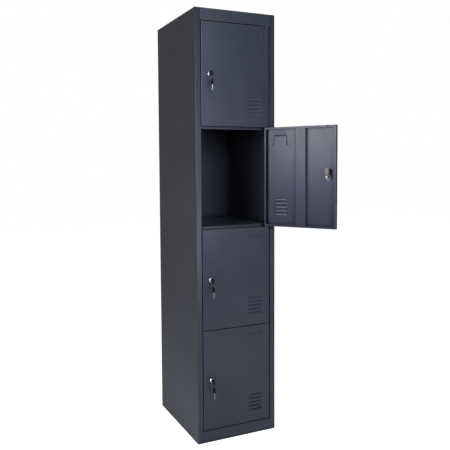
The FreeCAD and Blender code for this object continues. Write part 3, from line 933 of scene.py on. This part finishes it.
def make_doors():
    pan, hat, welds = pan_mesh(), hat_mesh(), weld_mesh()
    for door in DOORS:
        place = door_place(door)
        rows = (
            (pan, f"door_{door}_pan", [f"door_{door}_shell"]),
            (hat, f"door_{door}_hat_section", [f"door_{door}_stiffener"]),
            (welds, f"door_{door}_spot_welds", ()),
        )
        for mesh, name, replaces in rows:
            show(mesh, name, f"door_{door}", "powder_coat", replaces, place)


# ---- locks -------------------------------------------------------------------------------------
# A lock's own frame starts on its axis at the door's face, with x and z along the door's.


def barrel_mesh():
    """The housing: a chamfered flange in front of a threaded barrel, bored for the plug."""
    face = -FLANGE_PROUD
    soft = 0.5 * MM
    edge = 0.35 * MM
    crest = BARREL - FIT
    profile = [(BORE, BARREL_BACK), (BORE, face + soft), (BORE + soft, face)]
    profile += [(FLANGE - 2.6 * MM, face), (FLANGE - 2.2 * MM, face + 0.12 * MM)]
    profile += [(FLANGE - edge, face + 2.3 * MM), (FLANGE, face + 2.8 * MM)]
    profile += [(FLANGE, -edge), (FLANGE - edge, -FIT), (BARREL - 0.1 * MM, -FIT)]
    along = 5.2 * MM
    while along < BARREL_BACK - THREAD_PITCH:
        profile += [(crest, along), (BARREL - THREAD_DEPTH, along + THREAD_PITCH / 2)]
        along += THREAD_PITCH
    profile += [(crest, along), (BARREL - soft, BARREL_BACK)]
    shape = Shape()
    add_turned(shape, profile, steps=64, closed=True)
    return mesh_of(shape, "barrel", 24)


def nut_mesh():
    """A hexagon nut with chamfered corners."""
    steps = 72
    sixth = math.radians(60)
    chamfer = 0.7 * MM
    angles = [2 * math.pi * step / steps for step in range(steps)]
    flat = NUT_CORNER * math.cos(sixth / 2)
    hexagon = [flat / math.cos(angle % sixth - sixth / 2) for angle in angles]
    rounded = [min(out, NUT_CORNER * 0.90) for out in hexagon]
    low, high = SHEET + FIT, SHEET + NUT_THICK
    sections = ((rounded, low), (hexagon, low + chamfer), (hexagon, high - chamfer), (rounded, high))
    shape = Shape()
    rows = []
    for reach, level in sections:
        spots = [(out * math.cos(angle), level, out * math.sin(angle)) for angle, out in zip(angles, reach)]
        rows.append(shape.row(spots))
    for radius, level in ((BARREL + chamfer, high), (BARREL + FIT, high - 0.6 * MM), (BARREL + FIT, low)):
        rows.append(shape.row([(p.x, level, p.y) for p in circle(radius, steps)]))
    rows.append(rows[0])
    shape.loft(rows, ends=False)
    return mesh_of(shape, "nut", 20)


def plug_mesh():
    """The turning core, with its keyway."""
    profile = [(PLUG - 0.5 * MM, -PLUG_PROUD), (PLUG, -PLUG_PROUD + 0.4 * MM), (PLUG, CAM_FRONT)]
    core = Shape()
    add_turned(core, profile, steps=64)
    keyway = Shape()
    half_wide, half_tall = BLADE_THICK / 2 + KEYWAY_PLAY, BLADE_TALL / 2 + KEYWAY_PLAY
    add_block(keyway, (-half_wide, -PLUG_PROUD - MM, -half_tall), (half_wide, KEYWAY_DEEP, half_tall))
    plug = cut_from(mesh_of(core, "plug"), mesh_of(keyway, "keyway"))
    tidy_mesh(plug, 30)
    return plug


def cam_mesh():
    """The locking tongue: a stamped plate with a round heel and rounded corners at its tip."""
    half = CAM_WIDE / 2
    square = 0.01 * MM
    corners = [(half, CAM_REACH, half / 2), (-half, CAM_REACH, half / 2)]
    corners += [(-half, 0, square), (half, 0, square)]
    tip = [spot for spot in rounded_outline(corners) if spot.y > half]
    heel = [Vector((-half * math.cos(angle), -half * math.sin(angle))) for angle in spread(0, math.pi, 24)]
    shape = Shape()
    back = CAM_FRONT + CAM_THICK
    add_plate(shape, heel + tip, CAM_FRONT, back, CAM_EDGE, lambda u, v, level: (u, level, v))
    return mesh_of(shape, "cam", 40)


def screw_mesh():
    """A pan-head screw with a cross recess."""
    back = CAM_FRONT + CAM_THICK
    top = back + SCREW_HEAD_THICK
    shank = SCREW - FIT
    crown = 1.6 * MM
    rim = back + 0.9 * MM
    profile = [(shank, back - SCREW_LONG), (shank, back), (SCREW_HEAD, back), (SCREW_HEAD, rim)]
    for angle in (20, 45, 70):
        a = math.radians(angle)
        profile.append((SCREW_HEAD - crown * (1 - math.cos(a)), rim + crown * math.sin(a)))
    profile += [(SCREW_HEAD - crown, top), (0.3 * MM, top)]
    body = Shape()
    add_turned(body, profile, steps=48)
    long, short = 2.4 * MM, 0.45 * MM
    cross = Shape()
    for upright in (False, True):
        rows = []
        for level, share in ((top - 1.7 * MM, 0.45), (top + MM, 1.1)):
            x, z = (short, long * share) if upright else (long * share, short)
            rows.append(cross.row([(-x, level, -z), (x, level, -z), (x, level, z), (-x, level, z)]))
        cross.loft(rows)
    screw = cut_from(mesh_of(body, "screw"), mesh_of(cross, "cross"), crossing=True)
    tidy_mesh(screw, 30)
    return screw


# ---- keys --------------------------------------------------------------------------------------
# A key's own frame starts at the middle of its bow's hole, with y along the key towards the blade's
# tip, z up and x through its thickness.


def bow_outline():
    """The bow: rounded at the hole's end and drawn in towards the blade."""
    end, neck = -BOW_HOLE_EDGE, BOW_LONG - BOW_HOLE_EDGE
    widest = neck * 0.62
    half = BOW_TALL / 2
    lower = [(end, -half * 0.86, 7.5 * MM), (widest, -half, 6 * MM), (neck, -half * 0.52, 2.2 * MM)]
    upper = [(along, -height, radius) for along, height, radius in reversed(lower)]
    return rounded_outline(lower + upper, 8)


def bow_mesh():
    """The moulded bow: crowned edges, a sunk panel on each side and the hole for the ring."""
    outline = bow_outline()
    half = BOW_THICK / 2
    soft = 0.9 * MM
    bulge = soft * 0.3
    sunk = half - 0.35 * MM
    levels = [
        ("hole", 0.0, sunk),
        ("hole", 0.35 * MM, half),
        ("hole", 1.3 * MM, half),
        ("hole", 1.6 * MM, sunk),
        ("edge", 3.0 * MM, sunk),
        ("edge", 2.6 * MM, half),
        ("edge", soft, half),
        ("edge", bulge, half - bulge),
        ("edge", 0.0, half - soft),
    ]
    shape = Shape()

    def ring(kind, amount, x):
        if kind == "hole":
            spots = [spot.normalized() * (BOW_HOLE + amount) for spot in outline]
        else:
            spots = inset(outline, amount)
        return shape.row([(x, spot.x, spot.y) for spot in spots])

    rows = [ring(kind, amount, level) for kind, amount, level in levels]
    rows += [ring(kind, amount, -level) for kind, amount, level in reversed(levels)]
    rows.append(rows[0])
    shape.loft(rows, ends=False)
    return mesh_of(shape, "bow", 28)


def blade_stations():
    """Along the blade: (distance from the bow's hole, height above its middle line, depth below it)."""
    half = BLADE_TALL / 2
    neck = BOW_LONG - BOW_HOLE_EDGE
    start, shoulder, end = neck - 2.5 * MM, neck + 4 * MM, neck + BLADE_LONG
    stations = [(start, half, half), (shoulder, half, half)]
    pitch = (end - half - shoulder) / len(BLADE_CUTS)
    for index, cut in enumerate(BLADE_CUTS):
        middle = shoulder + pitch * (index + 0.5)
        for along in (middle - pitch * 0.18, middle + pitch * 0.18):
            stations.append((along, half - cut * MM, half))
        if index + 1 < len(BLADE_CUTS):
            ridge = min(cut, BLADE_CUTS[index + 1]) * 0.35
            stations.append((shoulder + pitch * (index + 1), half - ridge * MM, half))
    stations.append((end - half, half * 0.9, half))
    stations += [(end - 0.4 * MM, 1.2 * MM, 0.7 * MM), (end, 0.95 * MM, 0.5 * MM)]
    return stations


def blade_mesh():
    """The steel blade, with cuts along one edge, a milled groove and a pointed tip."""
    half = BLADE_THICK / 2
    soft = 0.18 * MM
    floor = half - 0.55 * MM
    shape = Shape()
    rows = []
    for along, top, bottom in blade_stations():
        groove = min(0.9 * MM, bottom * 0.6, top * 0.6)
        section = [(-half + soft, -bottom), (half - soft, -bottom), (half, -bottom + soft), (half, -groove)]
        section += [(floor, -groove * 0.6), (floor, groove * 0.6), (half, groove), (half, top - soft)]
        section += [(half - soft, top), (-half + soft, top), (-half, top - soft), (-half, -bottom + soft)]
        rows.append(shape.row([(x, along, z) for x, z in section]))
    shape.loft(rows)
    return mesh_of(shape, "blade", 25)


def ring_mesh():
    """A split ring: two turns of wire, side by side, that hang from the ring's top."""
    turns, steps, around = 2, 72, 10
    crossing = 0.04  # the share of the length in which the wire steps from one turn to the next
    wire = RING_WIRE / 2
    shape = Shape()
    rows = []
    for share in spread(-0.5, 0.5, turns * steps):
        angle = 2 * math.pi * turns * share
        aside = wire * min(max(share / crossing, -1), 1)
        spots = []
        for spot in circle(wire, around):
            radius = RING_RADIUS + spot.x * RING_FLAT
            spots.append((radius * math.cos(angle), aside + spot.y, radius * math.sin(angle) - RING_RADIUS))
        rows.append(shape.row(spots))
    shape.loft(rows)
    return mesh_of(shape, "split_ring", 40)


def make_locks():
    """Each lock with its keys.  The hanging pieces take their places from their joints."""
    barrel, nut, plug, cam, screw = barrel_mesh(), nut_mesh(), plug_mesh(), cam_mesh(), screw_mesh()
    bow, blade, ring = bow_mesh(), blade_mesh(), ring_mesh()
    to_hole = Matrix.Translation((0, BOW_HOLE_EDGE - BOW_FRONT, 0))
    hang_down = Matrix.Rotation(math.radians(-90), 4, "X")
    for door in DOORS:
        lock = door_place(door) @ Matrix.Translation((LOCK_X, 0, LOCK_Z))
        turn = door_place(door).to_3x3().to_4x4()
        key = lock @ to_hole
        hoop = Matrix.Translation(JOINTS[f"ring_{door}_swing"]["pos_m"]) @ turn
        spare = Matrix.Translation(JOINTS[f"spare_{door}_swing"]["pos_m"]) @ turn @ hang_down
        # mesh, piece, body, slot, replaced node, place
        rows = (
            (barrel, "lock_{}_barrel", "door_{}", "chrome", "lock_{}_housing", lock),
            (nut, "lock_{}_hex_nut", "door_{}", "bright_steel", "lock_{}_nut", lock),
            (plug, "lock_{}_core", "lock_core_{}", "chrome", "lock_{}_plug", lock),
            (cam, "lock_{}_tongue", "lock_core_{}", "zinc_plate", "lock_{}_cam", lock),
            (screw, "lock_{}_cam_screw", "lock_core_{}", "bright_steel", "lock_{}_screw", lock),
            (bow, "key_{}_bow", "key_{}", "key_plastic", "key_{}", key),
            (blade, "key_{}_blade", "key_{}", "bright_steel", None, key),
            (ring, "split_ring_{}", "ring_{}", "bright_steel", "ring_{}", hoop),
            (bow, "spare_{}_bow", "spare_{}", "key_plastic", "spare_{}", spare),
            (blade, "spare_{}_blade", "spare_{}", "bright_steel", None, spare),
        )
        for mesh, piece, body, slot, node, place in rows:
            replaces = [node.format(door)] if node else ()
            finish = "ring_steel" if mesh is ring else slot
            show(mesh, piece.format(door), body.format(door), slot, replaces, place, finish)


def finish_kept_nodes():
    """The CAD nodes whose own shape is right get the same finishes."""
    slots = {part["node"]: part["material_slot"] for part in frame["record"]["subparts"]}
    for name, node in frame["nodes"].items():
        if not node.hide_render:
            node.data.materials.clear()
            node.data.materials.append(FINISHES[slots[name]])


# ---- studio ------------------------------------------------------------------------------------


def make_floor():
    """A plain pale floor, lit so evenly that it fades into the background."""
    half = 9.0
    thick = 0.02
    shape = Shape()
    add_block(shape, (-half, -half, -thick), (half, half, 0))
    floor = bpy.data.objects.new("studio_floor", mesh_of(shape, "studio_floor"))
    bpy.context.scene.collection.objects.link(floor)
    finish = Finish("studio_floor", Roughness=0.9, Emission_Strength=1.0, Specular_IOR_Level=0.1)
    grain = finish.noise(finish.places(), 3.0)
    seen = finish.node("ShaderNodeLightPath", {}, {}, "Is Camera Ray")
    finish.set(
        Base_Color=finish.blend(grain, (0.86, 0.86, 0.86), (0.9, 0.9, 0.9)),
        Emission_Color=seen * (1 - GLOW_BELOW) + GLOW_BELOW,
    )
    floor.data.materials.append(finish.material)


def make_world():
    """A white background.  What it sheds on the cabinet is dim: a soft glow from behind and from below."""
    world = bpy.data.worlds.new("studio")
    bpy.context.scene.world = world
    world.use_nodes = True
    tree = world.node_tree
    tree.nodes.clear()

    def node(kind, settings, *sockets):
        made = tree.nodes.new(kind)
        for setting, value in settings.items():
            setattr(made, setting, value)
        for socket, value in zip(made.inputs, sockets):
            if isinstance(value, (int, float)):
                socket.default_value = value
            else:
                tree.links.new(value, socket)
        return made.outputs

    smooth = {"interpolation_type": "SMOOTHSTEP"}
    brighter = {"operation": "MAXIMUM"}
    way = node("ShaderNodeSeparateXYZ", {}, node("ShaderNodeTexCoord", {})["Generated"])
    behind = node("ShaderNodeMapRange", smooth, way["Y"], 0.2, 0.9, 0.0, GLOW_BEHIND)[0]
    below = node("ShaderNodeMapRange", smooth, way["Z"], -0.25, 0.0, GLOW_BELOW, 0.0)[0]
    glow = node("ShaderNodeMath", brighter, behind, below)[0]
    seen = node("ShaderNodeLightPath", {})["Is Camera Ray"]
    shade = node("ShaderNodeMath", brighter, glow, seen)[0]
    background = node("ShaderNodeBackground", {}, shade, 1.0)[0]
    node("ShaderNodeOutputWorld", {}, background)


def add_softbox(name, place, target, wide, power, tint):
    """A square lamp at a place, turned to its target."""
    light = bpy.data.lights.new(name, "AREA")
    light.shape = "SQUARE"
    light.size = wide
    light.energy = power
    light.color = tint
    lamp = bpy.data.objects.new(name, light)
    lamp.location = place
    lamp.rotation_euler = (Vector(target) - Vector(place)).to_track_quat("-Z", "Y").to_euler()
    lamp.visible_camera = False
    bpy.context.scene.collection.objects.link(lamp)


def make_lights():
    front = (0.0, -0.22, 1.0)
    open_door = (0.3, -0.4, 1.15)
    add_softbox("front_softbox", (0.0, -2.5, 1.9), front, 0.9, 41, (0.69, 0.80, 1.0))
    add_softbox("high_front_softbox", (0.5, -2.5, 2.8), front, 0.9, 3, (1.0, 0.9, 1.0))
    add_softbox("low_front_softbox", (0.5, -2.5, 1.0), front, 0.9, 14, (0.75, 0.72, 1.0))
    add_softbox("left_softbox", (-2.2, -1.05, 1.4), open_door, 0.9, 16, (0.52, 0.6, 1.0))
    add_softbox("left_near_softbox", (-1.2, -0.8, 1.5), open_door, 0.5, 6.5, (1.0, 0.96, 0.85))
    add_softbox("overhead_softbox", (0.0, -0.3, 3.6), front, 1.3, 10, (0.75, 0.88, 1.0))
    add_softbox("back_low_softbox", (-1.6, 1.8, 0.6), front, 1.0, 0.9, (1.0, 0.85, 0.75))


def make_camera():
    """Eye height, to the left of the cabinet's front."""
    yaw, pitch, roll = (math.radians(angle) for angle in VIEW_ANGLES)
    ahead = Vector((math.sin(yaw) * math.cos(pitch), math.cos(yaw) * math.cos(pitch), math.sin(pitch)))
    level = Vector((math.cos(yaw), -math.sin(yaw), 0))
    down = ahead.cross(level)
    right = level * math.cos(roll) + down * math.sin(roll)
    below = down * math.cos(roll) - level * math.sin(roll)
    data = bpy.data.cameras.new("camera")
    data.sensor_width = 36
    data.lens = VIEW_LENS
    data.shift_x, data.shift_y = VIEW_SHIFT
    data.clip_end = 50
    camera = bpy.data.objects.new("camera", data)
    turn = Matrix((right, -below, -ahead)).transposed().to_4x4()
    camera.matrix_world = Matrix.Translation(VIEW_PLACE) @ turn
    bpy.context.scene.collection.objects.link(camera)
    bpy.context.scene.camera = camera


make_cabinet()
make_doors()
make_locks()
finish_kept_nodes()
make_floor()
make_world()
make_lights()
make_camera()
bpy.context.scene.view_settings.view_transform = "Standard"
